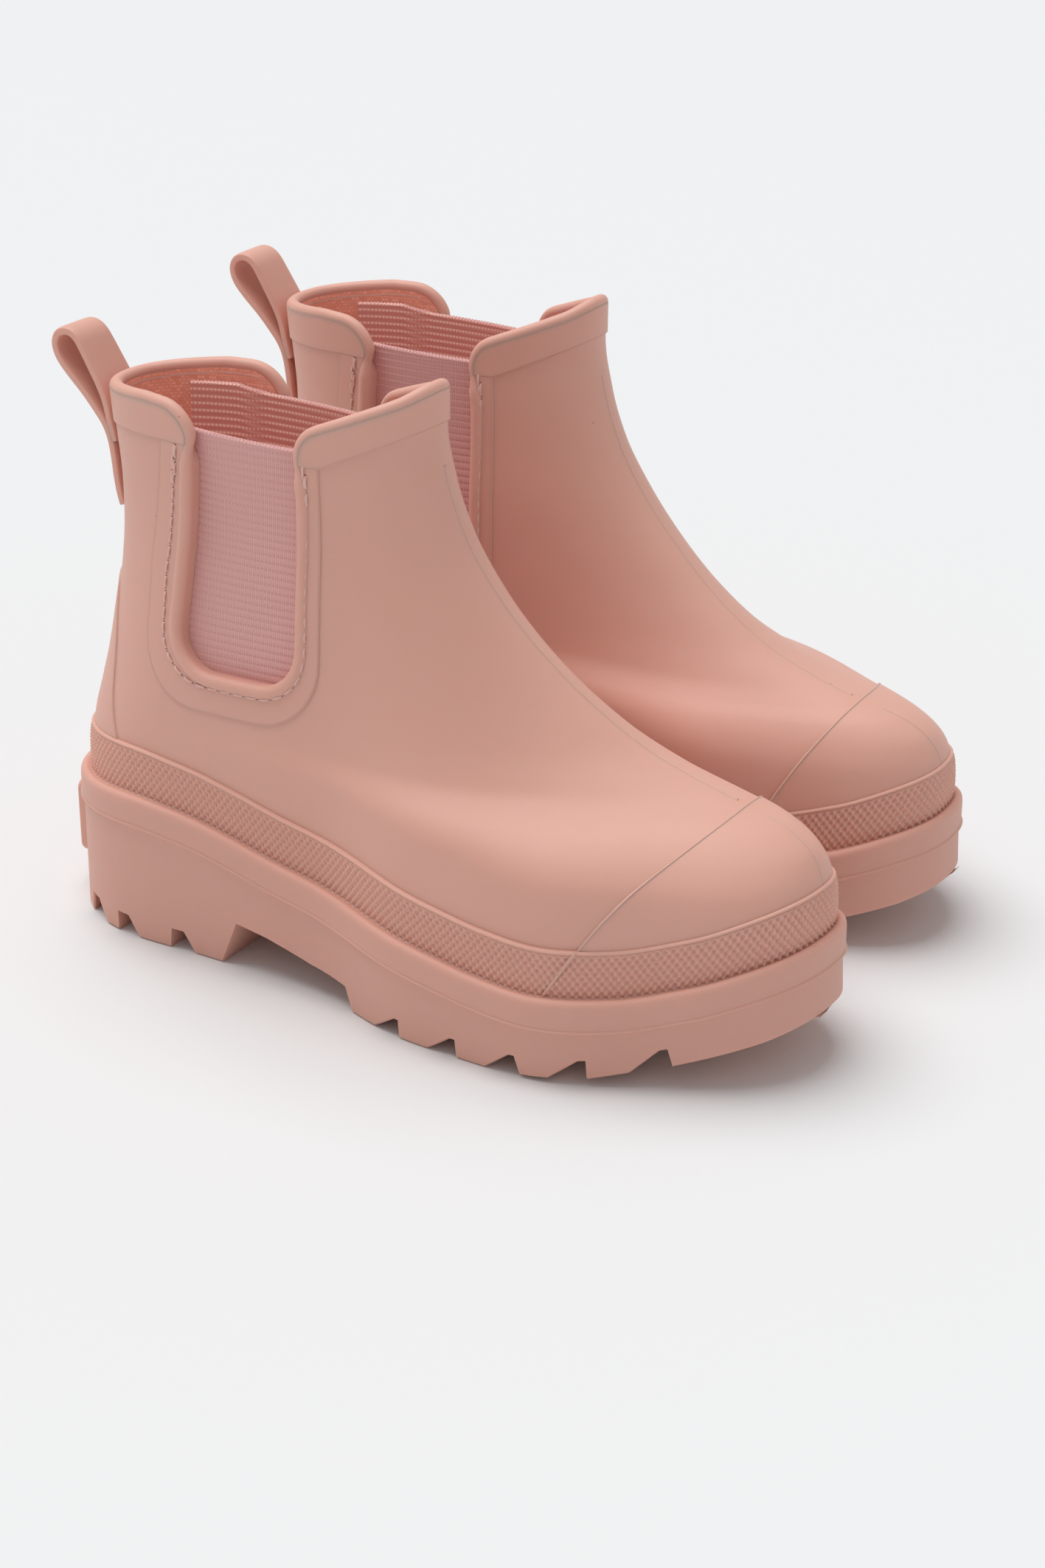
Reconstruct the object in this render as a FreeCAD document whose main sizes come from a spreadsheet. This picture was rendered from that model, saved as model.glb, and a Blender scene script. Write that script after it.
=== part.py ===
import FreeCAD, Part
import math
import os

import Sketcher

# A pair of moulded Chelsea rain boots. Each boot is drawn in its own frame: +X towards the toe, +Z up from the
# floor, lateral side at -Y and medial side at +Y for the right boot. The left boot is its mirror image. In the
# pair's frame both stand side by side, with the origin on the floor at the middle of the pair.

Vec = FreeCAD.Vector

# Driving dimensions in millimetres and degrees.
SIZES = {
    "boot_spacing": 81.4,
    "boot_stagger": 4.0,
    "toe_out": 2.09,
    "pair_shift": 1.4,
    "wall_thickness": 2.2,
    "lining_thickness": 0.8,
    "elastic_gap": 0.3,
    "elastic_thickness": 1.4,
    "trim_thickness": 0.6,
    "foxing_thickness": 0.9,
    "foxing_height": 11.5,
    "rim_overhang": 4.0,
    "rim_height": 7.5,
    "rim_recess": 5.0,
    "insole_thickness": 4.0,
    "floor_overhang": 0.9,
    "sole_overhang": 3.0,
    "floor_stretch": 0.03,
    "flex_height": 85.0,
    "flex_gap": 0.3,
    "lining_drop": 3.0,
    "strap_width": 14.0,
    "strap_thickness": 2.1,
    "loop_radius": 5.6,
    "loop_gap": 0.3,
    "thread_radius": 0.4,
    "stitch_length": 2.7,
    "stitch_pitch": 4.0,
    "badge_width": 21.0,
    "badge_height": 20.0,
    "badge_depth": 5.0,
    "badge_bevel": 0.8,
}

# The shin, vamp and toe along the midline, (x, z) from the sole up to above the collar, in even steps.
FRONT = [(97.0, 12), (98.6, 24), (99.3, 36), (98.6, 44), (95.8, 49.8), (89.5, 54.2), (79, 57.4), (67, 60.8),
         (53, 66), (39, 74.5), (26.5, 85), (16, 96.5), (7.8, 109), (3.3, 121), (0.9, 134), (1.1, 150)]
# The back of the heel and shaft, (z, x).
BACK = [(12, -94), (30, -95.5), (44, -95.5), (52, -94.6), (60, -92.5), (70, -90), (80, -88.3), (90, -86.9),
        (100, -86.3), (112, -86.6), (125, -87.9), (135, -88.8), (150, -90)]
# How far the rounding of each level reaches back from the front edge and forward from the back edge, (z, mm).
FRONT_ROUNDING = [(12, 58), (36, 58), (46, 66), (52, 88), (56, 112), (59, 124), (63, 124), (70, 110), (80, 88),
                  (95, 62), (110, 50), (130, 46)]
BACK_ROUNDING = [(12, 36), (45, 36), (75, 38), (100, 40), (130, 42)]
# The exponent of that rounding: 2 is an ellipse, more is squarer, less is more pointed, (z, exponent).
LATERAL_FULLNESS = [(12, 2.3), (40, 2.3), (52, 2.0), (60, 1.8), (75, 1.75), (95, 1.85), (110, 2.0), (130, 2.2)]
MEDIAL_FULLNESS = [(12, 2.3), (40, 2.3), (52, 2.1), (60, 1.95), (75, 1.9), (95, 1.95), (110, 2.1), (130, 2.2)]
HEEL_FULLNESS = 2.3
# Half-widths from the midplane at six stations along the foot, heel to toe, for each level (z, widths).
STATIONS = (-75, -45, -15, 15, 45, 72)
LATERAL = [(36, (29.5, 27.5, 28, 36, 36, 28.5)), (55, (28, 27, 27.5, 33.5, 34, 28)),
           (75, (25.5, 25, 25.5, 30.5, 31, 27)), (95, (22, 22, 23, 27, 28, 26)),
           (110, (19.8, 20.2, 20.5, 23, 24, 24)), (130, (19.6, 19.8, 19.8, 20, 20, 20))]
MEDIAL = [(36, (28, 24, 25.5, 29.7, 34.6, 30.5)), (55, (26.5, 24, 25, 29, 33, 29.5)),
          (75, (24.5, 23.5, 24, 27, 30, 28)), (95, (22, 22, 22.5, 25, 27, 26)),
          (110, (19.8, 20.2, 20.5, 22.5, 24, 24)), (130, (19.6, 19.8, 19.8, 20, 20, 20))]
# How far the ridge of the vamp lies towards the big toe, (x, y).
RIDGE = [(-10, 0), (20, 3), (50, 6.5), (80, 8), (102, 5.5)]
# The top edge of the sole's rim: high at the heel, low at the ball, up again at the toe, (x, z).
RIM_TOP = [(-100, 36.5), (-85, 38.3), (-70, 39.2), (-55, 37.6), (-40, 34.5), (-25, 31.0), (-10, 28.7), (5, 26.9),
           (20, 24.4), (35, 22.0), (50, 20.9), (65, 21.7), (80, 25.4), (92, 29.9), (103, 34.0)]

# Outlines seen from the side, (x, z, corner radius).
GORE_OPENING = [(-53.2, 160, 0), (-53.6, 131, 0), (-57.2, 73.5, 10), (-24.4, 73.5, 9), (-25.4, 118, 0),
                (-27.0, 132, 0), (-27.4, 160, 0)]
GORE_FRAME = [(-63.5, 126.4, 0), (-67.2, 98, 40), (-66.8, 64, 16), (-17.2, 64, 16), (-19.8, 126.4, 0)]
GORE_PANEL = [(-64.0, 131.4, 0), (-66.0, 66.5, 10), (-16.5, 66.5, 10), (-16.0, 129.4, 0)]
GORE_SEAM = [(-58.9, 124, 0), (-61.6, 94, 40), (-61.2, 70.3, 12.5), (-21.2, 70.3, 12), (-23.0, 124, 0)]
COLLAR_LINE = [(-130, -10, 0), (130, -10, 0), (130, 222, 0), (-3.0, 143.2, 14), (-26.3, 134.2, 8),
               (-26.6, 121, 0), (-53.2, 121, 0), (-53.4, 136.4, 10.5), (-70, 136.6, 0), (-89, 134.6, 0),
               (-130, 131, 0)]
FRONT_BAND = [(-30, 126.4, 0), (-19.8, 126.4, 0), (20, 144.2, 0), (20, 165, 0), (-30, 165, 0)]
BACK_BAND = [(-130, 122.0, 0), (-86, 125.0, 0), (-63.5, 126.4, 0), (-45, 126.4, 0), (-45, 165, 0), (-130, 165, 0)]
HEEL_COUNTER = [(-130, 84.7, 0), (-83.2, 84.7, 0), (-80, 74, 20), (-78.5, 58, 30), (-70, 38, 0), (-130, 30, 0)]
SHANK_ARCH = [(-43, -5, 0), (-43, 0, 0), (-38.3, 12, 3), (-20, 8.6, 40), (-4.3, 5.9, 1), (-2.4, 0, 0), (-2.4, -5, 0)]
TOE_SPRING = [(36, -5, 0), (36, 0, 0), (59.5, 1.9, 60), (75.5, 5.8, 60), (104, 16.5, 0), (110, 16.5, 0), (110, -5, 0)]

HEEL_NOTCHES = (-84.6, -73.6, -57.5)
HEEL_NOTCH = [(0, -5, 0), (0, 5.2, 0), (3.4, 5.2, 0), (6.6, 0, 0), (6.6, -5, 0)]
BALL_NOTCHES = ((13.2, 0), (28.8, 0), (44.3, 0.3), (59.4, 1.3), (75.6, 5.0))
BALL_NOTCH = [(-8.0, -8, 0), (-8.0, 0, 0), (-1.6, 4.6, 0), (0, 4.6, 0), (0, -8, 0)]
SPINE_HALF_WIDTH = 9.0

FLEX_FRONT_X = -40.0
SECTION_POINTS = 48
SECTION_STEPS = 2
REACH = 70.0


def glide(points, at):
    """A smooth curve through (position, value) points that never overshoots and stays level beyond its ends."""
    if at <= points[0][0]:
        return points[0][1]
    if at >= points[-1][0]:
        return points[-1][1]
    k = max(i for i in range(len(points) - 1) if points[i][0] <= at)
    widths = [b[0] - a[0] for a, b in zip(points, points[1:])]
    rises = [(b[1] - a[1]) / w for a, b, w in zip(points, points[1:], widths)]

    def slope(i):
        if i in (0, len(rises)):
            return rises[min(i, len(rises) - 1)]
        if rises[i - 1] * rises[i] <= 0:
            return 0.0
        return 2 * rises[i - 1] * rises[i] / (rises[i - 1] + rises[i])

    t = (at - points[k][0]) / widths[k]
    start, end = points[k][1], points[k + 1][1]
    return (start * (1 + 2 * t) * (1 - t) ** 2 + end * t * t * (3 - 2 * t)
            + widths[k] * (slope(k) * t * (1 - t) ** 2 - slope(k + 1) * t * t * (1 - t)))


def half_width(levels, x, z):
    """The half-width of one side at station x and height z, before the ends are rounded."""
    across = [(s, glide([(height, row[i]) for height, row in levels], z)) for i, s in enumerate(STATIONS)]
    return glide(across, x)


def rounding(distance, reach, fullness):
    """Grows from 0 at the edge to 1 once the distance from it is the reach."""
    t = 1 - min(max(distance / reach, 0.0), 1.0)
    return (1 - t ** fullness) ** (1 / fullness)


def front_point(step):
    """The midline profile at a step along FRONT."""
    return (glide([(i, p[0]) for i, p in enumerate(FRONT)], step),
            glide([(i, p[1]) for i, p in enumerate(FRONT)], step))


def front_offset(step, inset):
    """The midline profile moved inwards at right angles to itself."""
    ahead, behind = front_point(step + 0.01), front_point(step - 0.01)
    along_x, along_z = ahead[0] - behind[0], ahead[1] - behind[1]
    length = math.hypot(along_x, along_z)
    x, z = front_point(step)
    return x - inset * along_z / length, z + inset * along_x / length


def surface_point(x, x_front, z, side, inset):
    """The y of the upper's outer surface, moved in by inset, on one side (-1 lateral, +1 medial)."""
    x_back = glide(BACK, z) + inset
    back_reach = glide(BACK_ROUNDING, z)
    front_reach = min(glide(FRONT_ROUNDING, z), x_front - x_back - back_reach)
    widths, fullness = (LATERAL, LATERAL_FULLNESS) if side < 0 else (MEDIAL, MEDIAL_FULLNESS)
    ridge = glide(RIDGE, x)
    half = half_width(widths, x, z) - side * ridge - inset
    round_off = (rounding(x_front - x, front_reach, glide(fullness, z))
                 * rounding(x - x_back, back_reach, HEEL_FULLNESS))
    return ridge + side * half * round_off


def section(step, inset):
    """The points of one level of the upper, from the toe round the lateral side to the heel and back."""
    x_front, z = front_offset(step, inset)
    x_back = glide(BACK, z) + inset
    points = []
    for k in range(SECTION_POINTS):
        turn = 2 * math.pi * k / SECTION_POINTS
        x = (x_front + x_back) / 2 + (x_front - x_back) / 2 * math.cos(turn)
        side = -1 if turn < math.pi else 1
        points.append(Vec(x, surface_point(x, x_front, z, side, inset), z))
    return points


def closed_wire(points):
    curve = Part.BSplineCurve()
    curve.interpolate(Points=points, PeriodicFlag=True, Parameters=[i / len(points) for i in range(len(points) + 1)])
    return Part.Wire([curve.toShape()])


def upper_solid(inset):
    """The whole upper as a solid, its surface moved in by inset."""
    steps = [i / SECTION_STEPS for i in range((len(FRONT) - 1) * SECTION_STEPS + 1)]
    return Part.makeLoft([closed_wire(section(s, inset)) for s in steps], True, False)


def side_y(x, z, side, inset):
    """The y of the upper's surface at a point seen from the side."""
    low, high = 0.0, len(FRONT) - 1.0
    while high - low > 1e-4:
        middle = (low + high) / 2
        if front_point(middle)[1] < z:
            low = middle
        else:
            high = middle
    return surface_point(x, front_point(low)[0], z, side, inset)


def outline(overhang, height, stretch=0.0):
    """The sole's outline: the upper's foot, moved out by overhang and stretched lengthwise, as a wire at a height."""
    foot = section(1, 0.0)
    points = []
    for i, p in enumerate(foot):
        tangent = foot[(i + 1) % len(foot)] - foot[i - 1]
        tangent.normalize()
        points.append(Vec((p.x - tangent.y * overhang) * (1 + stretch), p.y + tangent.x * overhang, height))
    return closed_wire(points)


def side_wire(points):
    """A closed wire in the XZ plane through corners (x, z, radius), each rounded by its own radius."""
    corners = []
    for i, (x, z, radius) in enumerate(points):
        here = Vec(x, 0, z)
        before = Vec(points[i - 1][0], 0, points[i - 1][1]) - here
        after = Vec(points[(i + 1) % len(points)][0], 0, points[(i + 1) % len(points)][1]) - here
        if radius == 0:
            corners.append((here, None, here))
            continue
        before.normalize()
        after.normalize()
        half_angle = before.getAngle(after) / 2
        cut = radius / math.tan(half_angle)
        centre = here + (before + after).normalize() * (radius / math.sin(half_angle))
        middle = centre + (here - centre).normalize() * radius
        corners.append((here + before * cut, middle, here + after * cut))
    edges = []
    for i, (start, middle, end) in enumerate(corners):
        if middle is not None:
            edges.append(Part.Arc(start, middle, end).toShape())
        edges.append(Part.makeLine(end, corners[(i + 1) % len(corners)][0]))
    return Part.Wire(edges)


def side_prism(points, y_low=-REACH, y_high=REACH, dx=0.0, dz=0.0):
    """What lies inside a side outline, from y_low to y_high."""
    moved = [(x + dx, z + dz, r) for x, z, r in points]
    face = Part.Face(side_wire(moved))
    face.translate(Vec(0, y_low, 0))
    return face.extrude(Vec(0, y_high - y_low, 0))


def rim_band(low, high):
    """The space between two lines that run parallel to the rim's top edge, low and high above it."""
    ends = [(-130.0, RIM_TOP[0][1])] + RIM_TOP + [(130.0, RIM_TOP[-1][1])]
    span = [ends[0][0] + i * (ends[-1][0] - ends[0][0]) / 52 for i in range(53)]

    def line(rise):
        curve = Part.BSplineCurve()
        curve.interpolate([Vec(x, -REACH, glide(RIM_TOP, x) + rise) for x in span])
        return curve.toShape()

    bottom, top = line(low), line(high)
    sides = [Part.makeLine(bottom.Vertexes[i].Point, top.Vertexes[i].Point) for i in (0, 1)]
    face = Part.Face(Part.Wire([bottom, sides[1], top, sides[0]]))
    return face.extrude(Vec(0, 2 * REACH, 0))


def box(x, y, z):
    """A box from its ranges along the three axes."""
    return Part.makeBox(x[1] - x[0], y[1] - y[0], z[1] - z[0], Vec(x[0], y[0], z[0]))


def toe_cap_region():
    """All that lies in front of the toe cap's edge, which bows back to both sides and leans back going down."""
    ys = [-60 + 12 * i for i in range(11)]
    curve = Part.BSplineCurve()
    curve.interpolate([Vec(49 - 0.005 * (y - 8) ** 2, y, 0) for y in ys])
    edge = curve.toShape()
    corners = [edge.Vertexes[0].Point, Vec(150, ys[0], 0), Vec(150, ys[-1], 0), edge.Vertexes[1].Point]
    lines = [Part.makeLine(a, b) for a, b in zip(corners, corners[1:])]
    return Part.Face(Part.Wire([edge] + lines)).extrude(Vec(60, 0, 120))


def stitch_row(sizes, side, keep):
    """Short lengths of thread lying on the gore's frame. keep chooses the stitches by (x, z)."""
    path = side_wire(GORE_SEAM)
    edges = path.Edges[:-1]
    run = Part.Wire(edges)
    count = int(run.Length / sizes.stitch_pitch)
    marks = run.discretize(Number=2 * count + 1)
    lift = -(sizes.trim_thickness + sizes.thread_radius + 0.2)
    threads = []
    for i in range(count):
        a, b = marks[2 * i], marks[2 * i + 1]
        centre = (a + b) * 0.5
        if not keep(centre.x, centre.z):
            continue
        reach = (b - a).normalize() * (sizes.stitch_length / 2)
        ends = [centre - reach, centre + reach]
        ends = [Vec(p.x, side_y(p.x, p.z, side, 0) - side * lift, p.z) for p in ends]
        along = ends[1] - ends[0]
        threads.append(Part.makeCylinder(sizes.thread_radius, along.Length, ends[0], along))
    return Part.makeCompound(threads)


def boot_shapes(sizes):
    """Every free-form piece of the right boot, in the boot's own frame, by name."""
    lined_inset = sizes.wall_thickness + sizes.lining_thickness
    elastic_inset = lined_inset + sizes.elastic_gap
    outer, trim, foxing, inner, lined, stretch_out, stretch_in = (upper_solid(inset) for inset in (
        0.0, -sizes.trim_thickness, -sizes.foxing_thickness, sizes.wall_thickness, lined_inset,
        elastic_inset, elastic_inset + sizes.elastic_thickness))
    flex_low, flex_high = sizes.flex_height, sizes.flex_height + sizes.flex_gap
    back_lobe = box((-130, FLEX_FRONT_X), (-REACH, REACH), (flex_high, 220))
    not_front = box((-130, FLEX_FRONT_X), (-REACH, REACH), (flex_low, 220))
    below_collar = side_prism(COLLAR_LINE)
    opening = side_prism(GORE_OPENING)
    frame = side_prism(GORE_FRAME)
    fox_top = sizes.foxing_height
    above_foxing = rim_band(fox_top, 160)

    made = {}
    shell = outer.cut(inner).common(below_collar).common(rim_band(-sizes.rim_recess, 160)).cut(opening)
    made["upper_shell"] = shell.cut(not_front)
    made["back_panel"] = shell.common(back_lobe)

    skin = trim.cut(outer).common(below_collar).cut(opening)
    made["toe_cap"] = skin.common(toe_cap_region()).common(above_foxing)
    made["foxing_band"] = foxing.cut(outer).common(rim_band(0, fox_top))
    made["heel_counter"] = skin.common(side_prism(HEEL_COUNTER)).common(above_foxing)
    made["front_collar"] = skin.common(side_prism(FRONT_BAND))
    made["back_collar"] = skin.common(side_prism(BACK_BAND).fuse(frame)).common(back_lobe)

    lining = inner.cut(lined).common(side_prism(COLLAR_LINE, dz=-sizes.lining_drop))
    lining = lining.common(rim_band(sizes.insole_thickness - sizes.rim_recess, 160)).cut(opening)
    made["lining"] = lining.cut(not_front)
    made["back_lining"] = lining.common(back_lobe)

    footbed = sizes.insole_thickness - sizes.rim_recess
    made["insole"] = inner.common(rim_band(-sizes.rim_recess, footbed))

    sides = {"outer": -1, "inner": 1}
    for name, side in sides.items():
        half = box((-130, 130), (-REACH, 0) if side < 0 else (0, REACH), (-10, 220))
        made["gore_frame_" + name] = skin.common(frame).cut(not_front).common(half)
        made["gore_elastic_" + name] = stretch_out.cut(stretch_in).common(side_prism(GORE_PANEL)).common(half)
        made["gore_stitches_" + name] = stitch_row(
            sizes, side, lambda x, z: not (x < FLEX_FRONT_X and z > flex_low - 2.0))
    made["back_stitches"] = Part.makeCompound([
        stitch_row(sizes, side, lambda x, z: x < FLEX_FRONT_X and z > flex_high + 1.6) for side in sides.values()])

    slab = Part.Face(outline(sizes.rim_overhang, 0)).extrude(Vec(0, 0, 70))
    recess = outer.common(rim_band(-sizes.rim_recess, 100))
    made["midsole"] = slab.common(rim_band(-sizes.rim_height, 0)).cut(recess)

    floor_edge = outline(sizes.floor_overhang, 0, sizes.floor_stretch)
    block = Part.makeLoft([floor_edge, outline(sizes.sole_overhang, 45)], True, True)
    tread = block.common(rim_band(-90, -sizes.rim_height)).cut(side_prism(SHANK_ARCH)).cut(side_prism(TOE_SPRING))
    edges = ((-REACH, -SPINE_HALF_WIDTH), (SPINE_HALF_WIDTH, REACH))
    for low, high in edges:
        for x in HEEL_NOTCHES:
            tread = tread.cut(side_prism(HEEL_NOTCH, low, high, dx=x))
        for x, z in BALL_NOTCHES:
            tread = tread.cut(side_prism(BALL_NOTCH, low, high, dx=x, dz=z))
    made["outsole"] = tread

    tab = [(-80, 103.5, 0), (-86.9, 103.5, 0), (-89.3, 114, 0), (-91.0, 121.0, 0), (-80, 121.0, 0)]
    strap_side = sizes.strap_width / 2
    made["loop_tab"] = side_prism(tab, -strap_side, strap_side).cut(outer)
    return made


def tangent_point(start, centre, radius, side):
    """Where the line from start touches the circle, on the chosen side."""
    away_x, away_z = start[0] - centre[0], start[1] - centre[1]
    distance = math.hypot(away_x, away_z)
    turn = math.atan2(away_z, away_x) + side * math.acos(radius / distance)
    return centre[0] + radius * math.cos(turn), centre[1] + radius * math.sin(turn)


def plane_of(body, role):
    return next(f for f in body.Origin.OriginFeatures if f.Role == role)


def new_sketch(body, name, role):
    sketch = body.newObject("Sketcher::SketchObject", name)
    sketch.AttachmentSupport = [(plane_of(body, role), "")]
    sketch.MapMode = "FlatFace"
    return sketch


def draw_teardrop(sketch, corners, centre, radius, roots):
    """Lines through the corners, closed over the top by an arc that both end lines touch."""
    first = tangent_point(roots[0], centre, radius, 1)
    last = tangent_point(roots[1], centre, radius, -1)
    points = [last] + list(corners) + [first]
    for a, b in zip(points, points[1:]):
        sketch.addGeometry(Part.LineSegment(Vec(a[0], a[1], 0), Vec(b[0], b[1], 0)))
    top = (centre[0] - radius * 0.34, centre[1] + radius * 0.94)
    arc = Part.Arc(Vec(first[0], first[1], 0), Vec(top[0], top[1], 0), Vec(last[0], last[1], 0))
    sketch.addGeometry(arc)


def add_pull_loop(doc, name, sizes):
    """The free loop of the strap: a teardrop band seen from the side, as wide as the strap."""
    body = doc.addObject("PartDesign::Body", name)
    sketch = new_sketch(body, name + "_profile", "XZ_Plane")
    centre = (-99.4, 139.5)
    foot_z = 121.0 + sizes.loop_gap
    corners = [(-91.06, foot_z), (-88.7, foot_z), (-89.3, 126.0), (-90.1, 131.0)]
    draw_teardrop(sketch, corners, centre, sizes.loop_radius, (corners[-1], corners[0]))
    throat = (-91.9, 129.2)
    draw_teardrop(sketch, [throat], centre, sizes.loop_radius - sizes.strap_thickness, (throat, throat))
    pad = body.newObject("PartDesign::Pad", name + "_pad")
    pad.Profile = sketch
    pad.Midplane = True
    pad.setExpression("Length", "Sizes.strap_width")
    body.Tip = pad
    return body


def add_badge(doc, name, outsole):
    """A plain bevelled plate on the back of the heel, cut to fit the sole behind it."""
    body = doc.addObject("PartDesign::Body", name + "_plate")
    sketch = new_sketch(body, name + "_outline", "YZ_Plane")
    corners = [Vec(-10, 8, 0), Vec(10, 8, 0), Vec(10, 28, 0), Vec(-10, 28, 0)]
    for i in range(4):
        sketch.addGeometry(Part.LineSegment(corners[i], corners[(i + 1) % 4]))
    for i in range(4):
        sketch.addConstraint(Sketcher.Constraint("Coincident", i, 2, (i + 1) % 4, 1))
    for i, kind in enumerate(("Vertical", "Horizontal", "Vertical"), 1):
        sketch.addConstraint(Sketcher.Constraint(kind, i))
    sketch.addConstraint(Sketcher.Constraint("Symmetric", 0, 1, 0, 2, -2))
    sketch.addConstraint(Sketcher.Constraint("DistanceY", -1, 1, 0, 1, 7.5))
    width = sketch.addConstraint(Sketcher.Constraint("DistanceX", 0, 1, 0, 2, 20.0))
    height = sketch.addConstraint(Sketcher.Constraint("DistanceY", 1, 1, 1, 2, 20.0))
    sketch.setExpression(f"Constraints[{width}]", "Sizes.badge_width")
    sketch.setExpression(f"Constraints[{height}]", "Sizes.badge_height")
    sketch.AttachmentOffset = FreeCAD.Placement(Vec(0, 0, -101.3), FreeCAD.Rotation())
    pad = body.newObject("PartDesign::Pad", name + "_pad")
    pad.Profile = sketch
    pad.setExpression("Length", "Sizes.badge_depth")
    body.Tip = pad
    doc.recompute()
    rim = [f"Edge{i + 1}" for i, e in enumerate(pad.Shape.Edges) if e.BoundBox.XMax < pad.Shape.BoundBox.XMin + 1e-6]
    bevel = body.newObject("PartDesign::Chamfer", name + "_bevel")
    bevel.Base = (pad, rim)
    bevel.setExpression("Size", "Sizes.badge_bevel")
    body.Tip = bevel
    fitted = doc.addObject("Part::Cut", name)
    fitted.Base = body
    fitted.Tool = outsole
    return fitted


def new_sheet(doc):
    """The spreadsheet of driving dimensions, one alias a row."""
    sheet = doc.addObject("Spreadsheet::Sheet", "Sizes")
    for row, (name, value) in enumerate(SIZES.items(), 1):
        sheet.set(f"A{row}", name)
        sheet.set(f"B{row}", str(value))
        sheet.setAlias(f"B{row}", name)
    doc.recompute()
    return sheet


def add_boot(doc, side, shapes, sizes):
    """One boot's nodes, placed in the pair's frame. The left boot's free-form pieces are mirrored."""
    hand = -1 if side == "right" else 1
    place = FreeCAD.Placement(
        Vec(sizes.pair_shift - hand * sizes.boot_stagger / 2, hand * sizes.boot_spacing / 2, 0),
        FreeCAD.Rotation(Vec(0, 0, 1), hand * sizes.toe_out / 2))
    nodes = []
    for name, shape in shapes.items():
        feature = doc.addObject("Part::Feature", f"{side}_{name}")
        feature.Shape = shape if side == "right" else shape.mirror(Vec(0, 0, 0), Vec(0, 1, 0))
        feature.Placement = place
        nodes.append(feature)
    outsole = next(n for n in nodes if n.Name == f"{side}_outsole")
    loop = add_pull_loop(doc, f"{side}_pull_loop", sizes)
    loop.Placement = place
    badge = add_badge(doc, f"{side}_heel_badge", outsole)
    badge.Base.Placement = place
    nodes += [loop, badge]
    for node in nodes:
        node.Label = node.Name
    return nodes


def main():
    doc = FreeCAD.newDocument("rain_boots")
    sizes = new_sheet(doc)
    shapes = boot_shapes(sizes)
    nodes = add_boot(doc, "right", shapes, sizes) + add_boot(doc, "left", shapes, sizes)
    doc.recompute()
    for thing in doc.Objects:
        if "Invalid" in thing.State or "Error" in thing.State:
            raise RuntimeError(f"{thing.Name} failed: {thing.State}")
    whole = FreeCAD.BoundBox()
    for node in nodes:
        if node.Shape.isNull() or not node.Shape.isValid() or not node.Shape.Solids:
            raise RuntimeError(f"{node.Name} has no valid solid")
        whole.add(node.Shape.BoundBox)
    os.makedirs("parts", exist_ok=True)
    for node in nodes:
        node.Shape.exportStep(f"parts/{node.Name}.step")
        print(f"{node.Name:28s} solids {len(node.Shape.Solids):3d}  volume {node.Shape.Volume:10.1f}")
    print("box", [round(v, 2) for v in (whole.XMin, whole.XMax, whole.YMin, whole.YMax, whole.ZMin, whole.ZMax)])


main()
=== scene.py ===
import math

import bpy
import numpy as np
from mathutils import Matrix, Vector


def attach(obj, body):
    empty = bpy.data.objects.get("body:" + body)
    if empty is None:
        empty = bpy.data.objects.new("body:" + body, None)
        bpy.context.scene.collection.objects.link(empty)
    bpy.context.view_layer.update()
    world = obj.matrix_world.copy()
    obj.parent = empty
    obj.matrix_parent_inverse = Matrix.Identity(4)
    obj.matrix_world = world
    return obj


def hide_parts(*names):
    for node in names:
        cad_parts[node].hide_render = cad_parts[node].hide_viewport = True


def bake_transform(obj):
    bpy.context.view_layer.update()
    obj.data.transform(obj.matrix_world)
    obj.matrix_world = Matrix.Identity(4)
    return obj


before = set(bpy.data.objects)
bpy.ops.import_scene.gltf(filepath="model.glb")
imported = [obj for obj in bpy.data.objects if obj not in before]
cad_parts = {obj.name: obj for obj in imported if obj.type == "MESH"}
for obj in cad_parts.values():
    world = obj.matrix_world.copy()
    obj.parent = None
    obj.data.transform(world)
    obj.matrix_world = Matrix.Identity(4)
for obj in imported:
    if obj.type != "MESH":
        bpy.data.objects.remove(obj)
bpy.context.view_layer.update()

# A pair of salmon-pink moulded rain boots. Every shape below is drawn in the right boot's own frame, in
# millimetres: +X to the toe, -Y lateral, +Y medial, +Z up. The left boot is the mirror image. place() puts a
# boot into the pair's frame, in metres.
MM = 0.001
TAU = 2 * math.pi
# How the two boots stand: the distance between their middles, how far one is ahead of the other, the angle
# between them, and the shift that brings the pair's box over the origin.
SPACING, STAGGER, TOE_OUT, SHIFT = 81.4, 4.0, math.radians(2.09), 1.4

# ---- the upper's surface ---------------------------------------------------------------------------------
# The upper's front (x, z) and back (z, x) profiles, how far the plan view rounds off at each end (z, reach),
# how square that rounding is (z, power), its half widths at six stations along the boot (z, widths), the
# sideways lean of its ridge (x, y), and the height of the sole's rim along the boot (x, z).
FRONT = [(97.0, 12), (98.6, 24), (99.3, 36), (98.6, 44), (95.8, 49.8), (89.5, 54.2), (79, 57.4), (67, 60.8),
         (53, 66), (39, 74.5), (26.5, 85), (16, 96.5), (7.8, 109), (3.3, 121), (0.9, 134), (1.1, 150)]
BACK = [(12, -94), (30, -95.5), (44, -95.5), (52, -94.6), (60, -92.5), (70, -90), (80, -88.3), (90, -86.9),
        (100, -86.3), (112, -86.6), (125, -87.9), (135, -88.8), (150, -90)]
FRONT_ROUNDING = [(12, 58), (36, 58), (46, 66), (52, 88), (56, 112), (59, 124), (63, 124), (70, 110), (80, 88),
                  (95, 62), (110, 50), (130, 46)]
BACK_ROUNDING = [(12, 36), (45, 36), (75, 38), (100, 40), (130, 42)]
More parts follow.
